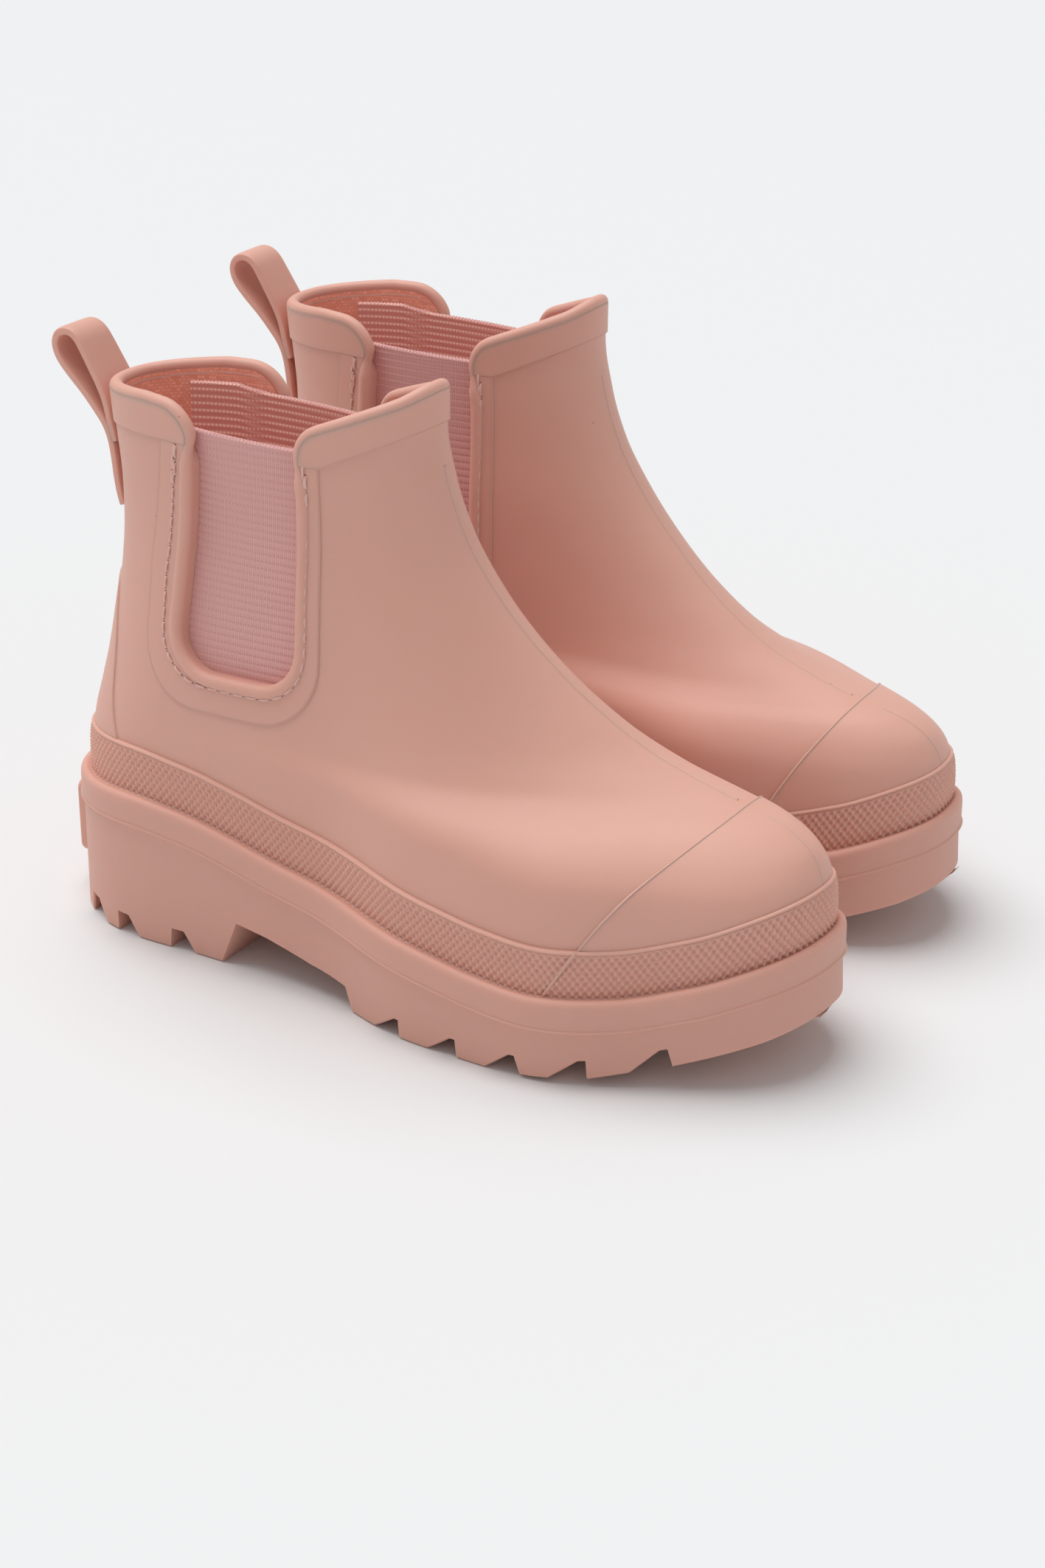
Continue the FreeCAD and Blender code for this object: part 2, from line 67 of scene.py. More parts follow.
FULLNESS = {-1: [(12, 2.3), (40, 2.3), (52, 2.0), (60, 1.8), (75, 1.75), (95, 1.85), (110, 2.0), (130, 2.2)],
            1: [(12, 2.3), (40, 2.3), (52, 2.1), (60, 1.95), (75, 1.9), (95, 1.95), (110, 2.1), (130, 2.2)]}
STATIONS = (-75, -45, -15, 15, 45, 72)
WIDTHS = {-1: [(36, (29.5, 27.5, 28, 36, 36, 28.5)), (55, (28, 27, 27.5, 33.5, 34, 28)),
               (75, (25.5, 25, 25.5, 30.5, 31, 27)), (95, (22, 22, 23, 27, 28, 26)),
               (110, (19.8, 20.2, 20.5, 23, 24, 24)), (130, (19.6, 19.8, 19.8, 20, 20, 20))],
          1: [(36, (28, 24, 25.5, 29.7, 34.6, 30.5)), (55, (26.5, 24, 25, 29, 33, 29.5)),
              (75, (24.5, 23.5, 24, 27, 30, 28)), (95, (22, 22, 22.5, 25, 27, 26)),
              (110, (19.8, 20.2, 20.5, 22.5, 24, 24)), (130, (19.6, 19.8, 19.8, 20, 20, 20))]}
RIDGE = [(-10, 0), (20, 3), (50, 6.5), (80, 8), (102, 5.5)]
RIM_TOP = [(-100, 36.5), (-85, 38.3), (-70, 39.2), (-55, 37.6), (-40, 34.5), (-25, 31.0), (-10, 28.7),
           (5, 26.9), (20, 24.4), (35, 22.0), (50, 20.9), (65, 21.7), (80, 25.4), (92, 29.9), (103, 34.0)]

# Outlines seen from the side, (x, z, corner radius).
GORE_OPENING = [(-53.2, 160, 0), (-53.6, 131, 0), (-57.2, 73.5, 10), (-24.4, 73.5, 9), (-25.4, 118, 0),
                (-27.0, 132, 0), (-27.4, 160, 0)]
GORE_FRAME = [(-63.3, 129, 0), (-67.2, 98, 40), (-66.8, 64, 16), (-17.2, 64, 16), (-19.9, 129, 0)]
GORE_SEAM = [(-58.7, 127, 0), (-61.6, 94, 40), (-61.2, 70.3, 12.5), (-21.2, 70.3, 12), (-23.1, 127, 0)]
COLLAR_LINE = [(-130, -10, 0), (130, -10, 0), (130, 222, 0), (-3.0, 143.2, 14), (-26.3, 134.2, 8),
               (-26.6, 121, 0), (-53.2, 121, 0), (-53.4, 136.4, 10.5), (-70, 136.6, 0), (-89, 134.6, 0),
               (-130, 131, 0)]
FRONT_BAND = [(-30, 126.4, 0), (-19.8, 126.4, 2), (20, 144.2, 0), (20, 165, 0), (-30, 165, 0)]
BACK_BAND = [(-130, 122.0, 0), (-86, 125.0, 0), (-63.5, 126.4, 2), (-45, 126.4, 0), (-45, 165, 0),
             (-130, 165, 0)]
HEEL_COUNTER = [(-130, 88.5, 0), (-83.2, 88.5, 6), (-80, 74, 20), (-78.5, 58, 30), (-70, 38, 0), (-130, 30, 0)]

# How far the moulded trims, the collar bands and the knurled band stand out, how deep the lining lies, and the
# height of the knurled band above the rim.
TRIM, BAND_TRIM, KNURL = 0.42, 0.5, 0.9
LINED = -3.0
FOXING = 11.6
# How far the covering pieces stay inside the collar's edge, and how far the upper runs down behind the rim.
EDGE_GAP, BEHIND_RIM = 2.2, -2.0
# The edge of a trim lies this far inside its outline, because its step takes up the rest.
STEP_WIDTH = 0.3


def glide(points, at):
    """A smooth curve through (position, value) points, which never overshoots and is level beyond its ends."""
    xs, ys = np.array(points, float).T
    gaps = np.diff(xs)
    rises = np.diff(ys) / gaps
    slopes = np.concatenate([rises[:1], np.zeros(len(xs) - 2), rises[-1:]])
    a, b = rises[:-1], rises[1:]
    same = a * b > 0
    slopes[1:-1][same] = (2 * a * b)[same] / (a + b)[same]
    at = np.clip(at, xs[0], xs[-1])
    k = np.clip(np.searchsorted(xs, at, side="right") - 1, 0, len(xs) - 2)
    t = (at - xs[k]) / gaps[k]
    return (ys[k] * (1 + 2 * t) * (1 - t) ** 2 + ys[k + 1] * t * t * (3 - 2 * t)
            + gaps[k] * (slopes[k] * t * (1 - t) ** 2 - slopes[k + 1] * t * t * (1 - t)))


def ease(v):
    """A smooth step from 0 to 1."""
    v = np.clip(v, 0, 1)
    return v * v * (3 - 2 * v)


def unit(v):
    return v / np.maximum(np.linalg.norm(v, axis=-1, keepdims=True), 1e-12)


def rounding(distance, reach, fullness):
    """From 0 at an end to 1 at reach from it, along a superellipse."""
    t = 1 - np.clip(distance / reach, 0, 1)
    return (1 - t ** fullness) ** (1 / fullness)


def blur(a, spread, axis, wrap):
    """A Gaussian blur along one axis of a grid, with a spread in cells."""
    reach = int(3 * spread)
    pad = [(0, 0)] * a.ndim
    pad[axis] = (reach, reach)
    wide = np.pad(a, pad, mode="wrap" if wrap else "edge")
    weights = np.exp(-0.5 * (np.arange(-reach, reach + 1) / spread) ** 2)
    out = sum(w * np.take(wide, range(i, i + a.shape[axis]), axis) for i, w in enumerate(weights))
    return out / weights.sum()


N_LEVEL, N_TURN, GORE_COLUMNS, GORE_ROWS = 300, 720, 230, 290
BACK_FULLNESS = 2.3
LEVELS = np.linspace(0, len(FRONT) - 1, N_LEVEL)
FRONT_X = glide([(i, p[0]) for i, p in enumerate(FRONT)], LEVELS)
FRONT_Z = glide([(i, p[1]) for i, p in enumerate(FRONT)], LEVELS)


def make_surface():
    """Points and normals of the upper on a grid of levels and turns, where turn 0 is the toe.

    Along the boot the widths are a curve through the stations, and a blur smooths the sideways places."""
    turns = np.arange(N_TURN) / N_TURN * TAU
    points = np.zeros((N_LEVEL, N_TURN, 3))
    for row, (x_front, z) in enumerate(zip(FRONT_X, FRONT_Z)):
        x_back = float(glide(BACK, z))
        x = (x_front + x_back) / 2 + (x_front - x_back) / 2 * np.cos(turns)
        y = np.zeros(N_TURN)
        back_reach = float(glide(BACK_ROUNDING, z))
        front_reach = min(float(glide(FRONT_ROUNDING, z)), x_front - x_back - back_reach)
        ridge = glide(RIDGE, x)
        for side in (-1, 1):
            here = (turns < math.pi) if side < 0 else (turns >= math.pi)
            across = [(station, float(glide([(height, widths[i]) for height, widths in WIDTHS[side]], z)))
                      for i, station in enumerate(STATIONS)]
            half = glide(across, x) - side * ridge
            ends = rounding(x_front - x, front_reach, float(glide(FULLNESS[side], z)))
            ends = ends * rounding(x - x_back, back_reach, BACK_FULLNESS)
            y[here] = (ridge + side * half * ends)[here]
        points[row] = np.stack([x, y, np.full(N_TURN, z)], -1)
    points[..., 1] = blur(blur(points[..., 1], 7, 1, True), 5, 0, False)
    up = np.gradient(points, axis=0)
    around = (np.roll(points, -1, 1) - np.roll(points, 1, 1)) / 2
    return points, unit(np.cross(up, around))


POINTS, NORMALS = make_surface()


def look(grid, turn, level):
    """The grid's value between its cells."""
    u = np.asarray(turn, float) / TAU * N_TURN
    v = np.clip(np.asarray(level, float) / (len(FRONT) - 1), 0, 1) * (N_LEVEL - 1)
    i, j = np.floor(u).astype(int), np.minimum(np.floor(v).astype(int), N_LEVEL - 2)
    fu, fv = (u - i)[..., None], (v - j)[..., None]
    i, i2 = i % N_TURN, (i + 1) % N_TURN
    return ((grid[j, i] * (1 - fu) + grid[j, i2] * fu) * (1 - fv)
            + (grid[j + 1, i] * (1 - fu) + grid[j + 1, i2] * fu) * fv)


def on_upper(turn, level, rise=0.0):
    """Points on the upper, and the normals there, moved out by rise."""
    n = unit(look(NORMALS, turn, level))
    return look(POINTS, turn, level) + np.asarray(rise, float)[..., None] * n, n


def spot(x, z, side):
    """The turn and level of a point seen from the side."""
    level = np.interp(z, FRONT_Z, LEVELS)
    front, back = np.interp(z, FRONT_Z, FRONT_X), glide(BACK, z)
    turn = np.arccos(np.clip((x - (front + back) / 2) / ((front - back) / 2), -1, 1))
    return np.where(np.asarray(side) < 0, turn, TAU - turn), level


def band_spot(turn, rise):
    """The level at which a turn is rise above the rim's top edge."""
    turn = np.asarray(turn, float)
    level = np.full(turn.shape, 3.0)
    for _ in range(12):
        x = look(POINTS, turn, level)[..., 0]
        level = np.interp(glide(RIM_TOP, x) + rise, FRONT_Z, LEVELS)
    return level


# ---- outlines ---------------------------------------------------------------------------------------------
def outline(corners):
    """A closed outline through corners (x, z, radius), as points."""
    points = []
    for i, (x, z, radius) in enumerate(corners):
        here = np.array([x, z], float)
        if radius == 0:
            points.append(here)
            continue
        before, after = (unit(np.array(corners[(i + k) % len(corners)][:2]) - here) for k in (-1, 1))
        half = math.acos(float(before @ after)) / 2
        cut, centre = radius / math.tan(half), here + unit(before + after) * radius / math.sin(half)
        start, end = here + before * cut - centre, here + after * cut - centre
        sweep = math.pi - 2 * half
        for k in range(11):
            f = k / 10
            spoke = start * math.sin((1 - f) * sweep) + end * math.sin(f * sweep)
            points.append(centre + spoke / math.sin(sweep))
    return np.array(points)


def inside(corners, x, z):
    """How far (x, z) lies inside the outline, negative outside."""
    line = outline(corners)
    near = np.full(np.shape(x), 1e9)
    within = np.zeros(np.shape(x), bool)
    for (ax, az), (bx, bz) in zip(line, np.roll(line, -1, 0)):
        dx, dz = bx - ax, bz - az
        f = np.clip(((x - ax) * dx + (z - az) * dz) / max(dx * dx + dz * dz, 1e-12), 0, 1)
        near = np.minimum(near, (x - ax - f * dx) ** 2 + (z - az - f * dz) ** 2)
        if dz != 0:
            within ^= ((az > z) != (bz > z)) & (x < ax + (z - az) * dx / dz)
    return np.where(within, 1, -1) * np.sqrt(near)


def open_edge(x, z):
    """The distance to the collar's line and the gores' edges, positive in the rubber."""
    return np.minimum(inside(COLLAR_LINE, x, z), -inside(GORE_OPENING, x, z))


def toe_line(x, y, z):
    """Positive on the toe cap."""
    return (x - (78 + 0.5 * (z - 58) - 0.0049 * (y - 8) ** 2)) * 0.85


# ---- meshes -----------------------------------------------------------------------------------------------
def cut_sheet(field, low=0.0, cells=(250, 540)):
    """Turns, levels and triangles of the part of the upper where field(x, y, z) is above 0, cut on its edge.

    low is the lowest level, and cells the number of levels and turns."""
    levels, turns = np.linspace(low, len(FRONT) - 1, cells[0]), np.arange(cells[1]) / cells[1] * TAU
    level, turn = (g.ravel() for g in np.meshgrid(levels, turns, indexing="ij"))

    def value(at_turn, at_level):
        p = look(POINTS, at_turn, at_level)
        return field(p[:, 0], p[:, 1], p[:, 2])

    f = value(turn, level)
    a = np.arange((cells[0] - 1) * cells[1])
    b = a // cells[1] * cells[1] + (a + 1) % cells[1]
    tris = np.concatenate([np.stack([a, b + cells[1], b], 1), np.stack([a, a + cells[1], b + cells[1]], 1)])
    count = (f[tris] > 0).sum(1)
    kept, edges = [tris[count == 3]], []
    partial = {}
    for wanted in (1, 2):
        some = tris[count == wanted]
        lone = ((f[some] > 0) == (wanted == 1)).argmax(1)
        some = np.stack([some[np.arange(len(some)), (lone + k) % 3] for k in range(3)], 1)
        partial[wanted] = some
        edges += [np.sort(some[:, [0, 1]], 1), np.sort(some[:, [0, 2]], 1)]
    pairs, where = np.unique(np.concatenate(edges), axis=0, return_inverse=True)
    where = where.ravel() + len(turn)
    p, q = pairs.T
    share = f[p] / (f[p] - f[q])
    step = (turn[q] - turn[p] + math.pi) % TAU - math.pi
    rise = level[q] - level[p]
    for _ in range(3):
        share = np.clip(share + value(turn[p] + share * step, level[p] + share * rise) / (f[p] - f[q]), 0, 1)
    turn = np.concatenate([turn, (turn[p] + share * step) % TAU])
    level = np.concatenate([level, level[p] + share * rise])
    n1, n2 = len(partial[1]), len(partial[2])
    e = np.split(where, [n1, 2 * n1, 2 * n1 + n2])
    kept.append(np.stack([partial[1][:, 0], e[0], e[1]], 1))
    kept.append(np.stack([partial[2][:, 1], partial[2][:, 2], e[3]], 1))
    kept.append(np.stack([partial[2][:, 1], e[3], e[2]], 1))
    tris = np.concatenate(kept)
    used, tris = np.unique(tris, return_inverse=True)
    return turn[used], level[used], tris.reshape(-1, 3)


def loops_of(tris):
    """The closed loops of edges round a sheet, the sheet to their left."""
    half = np.concatenate([tris[:, [0, 1]], tris[:, [1, 2]], tris[:, [2, 0]]])
    n = tris.max() + 1
    lone = half[~np.isin(half[:, 0] * n + half[:, 1], half[:, 1] * n + half[:, 0])]
    following = dict(lone.tolist())
    loops = []
    while following:
        start, at = following.popitem()
        loop = [start]
        while at != start and at in following:
            loop.append(at)
            at = following.pop(at)
        if len(loop) > 12:
            loops.append(loop)
    return loops


def even(points, spacing, *more, closed=True):
    """Points spread evenly along a line, and anything else that goes with them."""
    if closed:
        points = np.concatenate([points, points[:1]])
        more = [np.concatenate([m, m[:1]]) for m in more]
    run = np.concatenate([[0], np.cumsum(np.linalg.norm(np.diff(points, axis=0), axis=1))])
    count = max(int(run[-1] / spacing), 4)
    at = np.linspace(0, run[-1], count + 1)[:-1 if closed else None]
    return [np.stack([np.interp(at, run, v) for v in m.T], 1) for m in (points, *more)]


def grid_mesh(points, closed=(False, False)):
    """Vertices, faces and normals of a grid of points. A normal is the row step crossed with the column step."""
    rows, cols = points.shape[:2]
    i, j = np.meshgrid(np.arange(rows - (not closed[0])), np.arange(cols - (not closed[1])), indexing="ij")
    i, j = i.ravel(), j.ravel()
    i2, j2 = (i + 1) % rows, (j + 1) % cols
    faces = np.stack([i * cols + j, i2 * cols + j, i2 * cols + j2, i * cols + j2], 1)

    def slope(axis):
        if closed[axis]:
            return np.roll(points, -1, axis) - np.roll(points, 1, axis)
        return np.gradient(points, axis=axis)

    normals = unit(np.cross(slope(0), slope(1)))
    return points.reshape(-1, 3), faces, normals.reshape(-1, 3)


def outside_in(mesh):
    """The mesh with its faces and normals turned round."""
    vertices, faces, normals = mesh
    return vertices, np.asarray(faces)[:, ::-1], -normals


def frame_along(path, normals, closed, soften=3):
    """The outward direction at each point of a line on a surface, to the right of its run."""
    along = np.roll(path, -1, 0) - np.roll(path, 1, 0) if closed else np.gradient(path, axis=0)
    along = blur(unit(along), soften, 0, closed) if soften else unit(along)
    return unit(np.cross(along, normals))


def sweep(path, normals, outward, profile, closed):
    """A strip with a profile of (out, up) steps along a line. The profile may differ from point to point."""
    profile = np.asarray(profile, float)
    if profile.ndim == 2:
        profile = np.repeat(profile[None], len(path), 0)
    grid = path[:, None] + profile[..., :1] * outward[:, None] + profile[..., 1:] * normals[:, None]
    return outside_in(grid_mesh(grid, (closed, False)))


def edge_strips(turn, level, tris, profile, spacing=0.6):
    """Strips that turn the edges of a sheet down onto what lies under it."""
    made = []
    for loop in loops_of(tris):
        points, normals = on_upper(turn[loop], level[loop])
        path, normals = even(points, spacing, normals)
        normals = unit(normals)
        made.append(sweep(path, normals, frame_along(path, normals, True), profile, True))
    return made


def sheet(turn, level, tris, rise=0.0, flip=False):
    """A cut sheet as a mesh, moved out by rise, and facing inward if it is flipped."""
    points, normals = on_upper(turn, level, rise)
    return (points, tris[:, ::-1], -normals) if flip else (points, tris, normals)


def join(parts):
    """One mesh from several (vertices, faces, normals)."""
    vertices, faces, normals, offset = [], [], [], 0
    for v, f, n in parts:
        vertices.append(v)
        normals.append(n)
        faces += (np.asarray(f) + offset).tolist()
        offset += len(v)
    return np.concatenate(vertices), faces, np.concatenate(normals)


def place(points, side):
    """Points of the right boot's frame in the pair's frame, mirrored for the left boot, in metres."""
    hand = -1 if side == "right" else 1
    turn = hand * TOE_OUT / 2
    x, y, z = points.T
    y = -hand * y
    return np.stack([x * math.cos(turn) - y * math.sin(turn) + SHIFT - hand * STAGGER / 2,
                     x * math.sin(turn) + y * math.cos(turn) + hand * SPACING / 2, z], 1) * MM


def turned(vectors, side):
    """Directions instead of points."""
    return (place(vectors, side) - place(np.zeros((1, 3)), side)) / MM


def make(name, side, mesh, finish, smooth_angle=None):
    """A mesh object for one boot. With a smooth_angle its normals come from its faces, not from the mesh.

    The points of a gore's back carry an inward value of 1, which its material reads."""
    vertices, faces, normals = mesh
    if side == "left":
        faces = [f[::-1] for f in faces]
    data = bpy.data.meshes.new(f"{side}_{name}")
    data.from_pydata(place(vertices, side).tolist(), [], faces)
    data.polygons.foreach_set("use_smooth", [True] * len(data.polygons))
    if smooth_angle is None:
        data.normals_split_custom_set_from_vertices(turned(normals, side).tolist())
    else:
        data.set_sharp_from_angle(angle=math.radians(smooth_angle))
    data.materials.append(finish)
    if name.endswith("_gore"):
        row = np.arange(len(vertices)) // GORE_COLUMNS
        inward = data.attributes.new("inward", "FLOAT", "POINT")
        inward.data.foreach_set("value", (row > len(vertices) // GORE_COLUMNS / 2).astype(float))
    made = bpy.data.objects.new(f"{side}_{name}", data)
    bpy.context.scene.collection.objects.link(made)
    return made


def at_side(side, x, y, z):
    """A point of the right boot's frame in the pair's frame."""
    return Vector(place(np.array([[x, y, z]], float), side)[0])


def bend_with_collar(made, side, slot, *nodes):
    """The piece is baked into the pair's frame, and stands for these nodes."""
    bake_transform(made)
    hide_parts(*(f"{side}_{n}" for n in nodes))


def stay(made, side, slot, *nodes):
    """The piece stays with the boot, and stands for these nodes."""
    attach(made, f"{side}_boot")
    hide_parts(*(f"{side}_{n}" for n in nodes))


# ---- materials --------------------------------------------------------------------------------------------
# Painted light: the cloth inside glows with this share of its own colour, an emission that stands in for light
# coming through the thin rubber. The gores' backs, which look darker, glow less.
PAINTED_GLOW, GORE_PAINTED_GLOW = 0.2, 0.12
SPECK = "8a5a4e"
CLOTH_ROUGHNESS, CLOTH_SHEEN = 0.85, 0.25
RIB = 1.75  # the elastic's rows, in mm
DASH = 0.95  # the dashes along its back, in mm


def rgb(code):
    """A linear colour from an sRGB hex code."""
    parts = [int(code[i:i + 2], 16) / 255 for i in (0, 2, 4)]
    return [c / 12.92 if c <= 0.04045 else ((c + 0.055) / 1.055) ** 2.4 for c in parts] + [1.0]


def node(tree, kind, settings=(), **links):
    """Adds a shader node, sets its properties, and links or sets its inputs, by name or, as i0, by number."""
    made = tree.nodes.new(kind)
    for key, value in dict(settings).items():
        setattr(made, key, value)
    for key, value in links.items():
        numbered = key[0] == "i" and key[1:].isdigit()
        socket = made.inputs[int(key[1:]) if numbered else key.replace("_", " ")]
        if isinstance(value, bpy.types.NodeSocket):
            tree.links.new(value, socket)
        else:
            socket.default_value = value
    return made


def material(name):
    """A new material, its node tree and its shader."""
    made = bpy.data.materials.new(name)
    made.use_nodes = True
    tree = made.node_tree
    return made, tree, tree.nodes["Principled BSDF"]


def per_mm(millimetres):
    """The texture scale, per metre, whose pattern repeats at about this many millimetres."""
    return 1000.0 / millimetres


def moulded_rubber(name, colour, deep, roughness=0.5):
    """Matte PVC: slightly translucent, with a fine grain, faint blotches and a few dark specks."""
    made, tree, shader = material(name)
    coords = tree.nodes.new("ShaderNodeTexCoord").outputs["Object"]
    blotch = node(tree, "ShaderNodeTexNoise", Vector=coords, Scale=per_mm(38), Detail=3.0)
    tone = node(tree, "ShaderNodeMix", {"data_type": "RGBA"}, i0=blotch.outputs["Fac"],
                i6=rgb(deep), i7=rgb(colour))
    cells = node(tree, "ShaderNodeTexVoronoi", Vector=coords, Scale=per_mm(11))
    near = node(tree, "ShaderNodeMath", {"operation": "LESS_THAN"}, i0=cells.outputs["Distance"], i1=0.024)
    picked = node(tree, "ShaderNodeSeparateColor", Color=cells.outputs["Color"])
    few = node(tree, "ShaderNodeMath", {"operation": "LESS_THAN"}, i0=picked.outputs["Red"], i1=0.35)
    speck = node(tree, "ShaderNodeMath", {"operation": "MULTIPLY"}, i0=near.outputs[0], i1=few.outputs[0])
    faint = node(tree, "ShaderNodeMath", {"operation": "MULTIPLY"}, i0=speck.outputs[0], i1=0.4)
    final = node(tree, "ShaderNodeMix", {"data_type": "RGBA"}, i0=faint.outputs[0],
                 i6=tone.outputs[2], i7=rgb(SPECK))
    tree.links.new(final.outputs[2], shader.inputs["Base Color"])
    grain = node(tree, "ShaderNodeTexNoise", Vector=coords, Scale=per_mm(0.5), Detail=2.0)
    waves = node(tree, "ShaderNodeTexNoise", Vector=coords, Scale=per_mm(22), Detail=1.0)
    soft = node(tree, "ShaderNodeBump", Height=waves.outputs["Fac"], Strength=0.25, Distance=0.0008)
    bump = node(tree, "ShaderNodeBump", Height=grain.outputs["Fac"], Strength=0.12, Distance=0.0001,
                Normal=soft.outputs[0])
    tree.links.new(bump.outputs[0], shader.inputs["Normal"])
    shader.inputs["Roughness"].default_value = roughness
    shader.inputs["Specular IOR Level"].default_value = 0.4
    shader.inputs["Subsurface Weight"].default_value = 0.3
    shader.inputs["Subsurface Radius"].default_value = (1.0, 0.4, 0.28)
    shader.inputs["Subsurface Scale"].default_value = 0.003
    return made


def woven(name, colour, deep, row, stitch, depth):
    """Fine cotton knit: rows of small stitches, row mm apart and stitch mm wide, drawn across the boot."""
    made, tree, shader = material(name)
    coords = tree.nodes.new("ShaderNodeTexCoord").outputs["Object"]
    split = node(tree, "ShaderNodeSeparateXYZ", Vector=coords)
    flat = node(tree, "ShaderNodeCombineXYZ", X=split.outputs["X"], Y=split.outputs["Z"])
    bricks = node(tree, "ShaderNodeTexBrick", {"offset": 0.5}, Vector=flat.outputs[0], Scale=1000.0,
                  Color1=rgb(colour), Color2=rgb(deep), Mortar=rgb(deep), Mortar_Size=0.14 * min(row, stitch),
                  Mortar_Smooth=0.8, Brick_Width=stitch, Row_Height=row)
    fuzz = node(tree, "ShaderNodeTexNoise", Vector=coords, Scale=per_mm(0.35), Detail=2.0)
    mixed = node(tree, "ShaderNodeMix", {"data_type": "RGBA", "blend_type": "MULTIPLY"}, i0=0.25,
                 i6=bricks.outputs["Color"], i7=fuzz.outputs["Color"])
    tree.links.new(mixed.outputs[2], shader.inputs["Base Color"])
    low = node(tree, "ShaderNodeMath", {"operation": "SUBTRACT"}, i0=1.0, i1=bricks.outputs["Fac"])
    total = node(tree, "ShaderNodeMath", {"operation": "MULTIPLY_ADD"}, i0=fuzz.outputs["Fac"], i1=0.4,
                 i2=low.outputs[0])
    bump = node(tree, "ShaderNodeBump", Height=total.outputs[0], Strength=0.7, Distance=depth * MM)
    tree.links.new(bump.outputs[0], shader.inputs["Normal"])
    shader.inputs["Roughness"].default_value = CLOTH_ROUGHNESS
    shader.inputs["Sheen Weight"].default_value = CLOTH_SHEEN
    shader.inputs["Sheen Roughness"].default_value = 0.5
    # Painted light: the knit glows with its own colour, which brightens it inside the boot.
    tree.links.new(mixed.outputs[2], shader.inputs["Emission Color"])
    shader.inputs["Emission Strength"].default_value = PAINTED_GLOW
    return made


def elastic_web(name, colour, deep, inside_colour, dash):
    """Woven elastic: fine upright columns, with rows of dark dots on its face and light dashes on its back."""
    made, tree, shader = material(name)
    coords = tree.nodes.new("ShaderNodeTexCoord").outputs["Object"]
    split = node(tree, "ShaderNodeSeparateXYZ", Vector=coords)

    def wave(axis, pitch, power):
        turn = node(tree, "ShaderNodeMath", {"operation": "MULTIPLY"}, i0=split.outputs[axis],
                    i1=TAU * per_mm(pitch))
        swing = node(tree, "ShaderNodeMath", {"operation": "COSINE"}, i0=turn.outputs[0])
        half = node(tree, "ShaderNodeMath", {"operation": "MULTIPLY_ADD"}, i0=swing.outputs[0], i1=0.5, i2=0.5)
        return node(tree, "ShaderNodeMath", {"operation": "POWER"}, i0=half.outputs[0], i1=power).outputs[0]

    columns, rows = wave("X", 0.52, 1.0), wave("Z", RIB, 4.0)
    dots = node(tree, "ShaderNodeMath", {"operation": "MULTIPLY"}, i0=rows, i1=wave("X", 1.04, 2.0)).outputs[0]
    dashes = node(tree, "ShaderNodeMath", {"operation": "MULTIPLY"}, i0=rows, i1=wave("X", DASH, 0.7))
    dashes = dashes.outputs[0]
    weave = node(tree, "ShaderNodeMix", {"data_type": "RGBA"}, i0=columns, i6=rgb(deep), i7=rgb(colour))
    face = node(tree, "ShaderNodeMix", {"data_type": "RGBA"}, i0=dots, i6=weave.outputs[2], i7=rgb(deep))
    face = face.outputs[2]
    back = node(tree, "ShaderNodeMix", {"data_type": "RGBA"}, i0=dashes, i6=rgb(inside_colour), i7=rgb(dash))
    side = tree.nodes.new("ShaderNodeAttribute")
    side.attribute_name = "inward"
    mixed = node(tree, "ShaderNodeMix", {"data_type": "RGBA"}, i0=side.outputs["Fac"], i6=face,
                 i7=back.outputs[2])
    tree.links.new(mixed.outputs[2], shader.inputs["Base Color"])
    # Painted light: where the inward value is 1, the gore's back glows with its own colour.
    tree.links.new(mixed.outputs[2], shader.inputs["Emission Color"])
    painted_glow = node(tree, "ShaderNodeMath", {"operation": "MULTIPLY"}, i0=side.outputs["Fac"], i1=GORE_PAINTED_GLOW)
    tree.links.new(painted_glow.outputs[0], shader.inputs["Emission Strength"])
    height = node(tree, "ShaderNodeMath", {"operation": "MULTIPLY_ADD"}, i0=columns, i1=0.35, i2=rows)
    bump = node(tree, "ShaderNodeBump", Height=height.outputs[0], Strength=0.6, Distance=0.00016)
    tree.links.new(bump.outputs[0], shader.inputs["Normal"])
    shader.inputs["Roughness"].default_value = CLOTH_ROUGHNESS
    shader.inputs["Sheen Weight"].default_value = CLOTH_SHEEN
    return made


def plain(name, colour, roughness):
    """One even colour, for what is too small or too far away to show more."""
    made, _, shader = material(name)
    shader.inputs["Base Color"].default_value = rgb(colour)
    shader.inputs["Roughness"].default_value = roughness
    return made


RUBBER = moulded_rubber("moulded_pvc", "e4b0a0", "dea897")
SOLE_RUBBER = moulded_rubber("moulded_pvc_sole", "e0ac9c", "daa493", 0.55)
ELASTIC = elastic_web("ribbed_elastic", "e8b2ae", "d69d98", "cf9086", "f7c8b8")
LINING = woven("knit_lining", "f6a890", "e28f78", 0.8, 0.9, 0.12)
THREAD = plain("sewing_thread", "e8bdb2", 0.7)
SHADE = plain("needle_hole_shade", "8f5b50", 0.9)


# ---- the pieces of one boot -------------------------------------------------------------------------------
def step_edge(rise, lip=0.0):
    """The profile of a small moulded step, with a fine raised line along it if lip is above 0."""
    return [(-0.4 if lip else -0.12, rise - 0.03), (-0.1, rise + 0.01 + lip), (0.08, rise + lip),
            (0.2, rise * 0.7), (0.28, rise * 0.2), (0.34, -0.12)]


def above_rim(x, z, rise):
    """Positive more than rise above the rim's top edge."""
    return z - glide(RIM_TOP, x) - rise


def upper():
    """The moulded shell's outer face, up to the rolled edges round the top and the gores."""
    def shell(x, y, z):
        return np.minimum(open_edge(x, z) - 1.3, above_rim(x, z, BEHIND_RIM))
    return sheet(*cut_sheet(shell, 0.4))


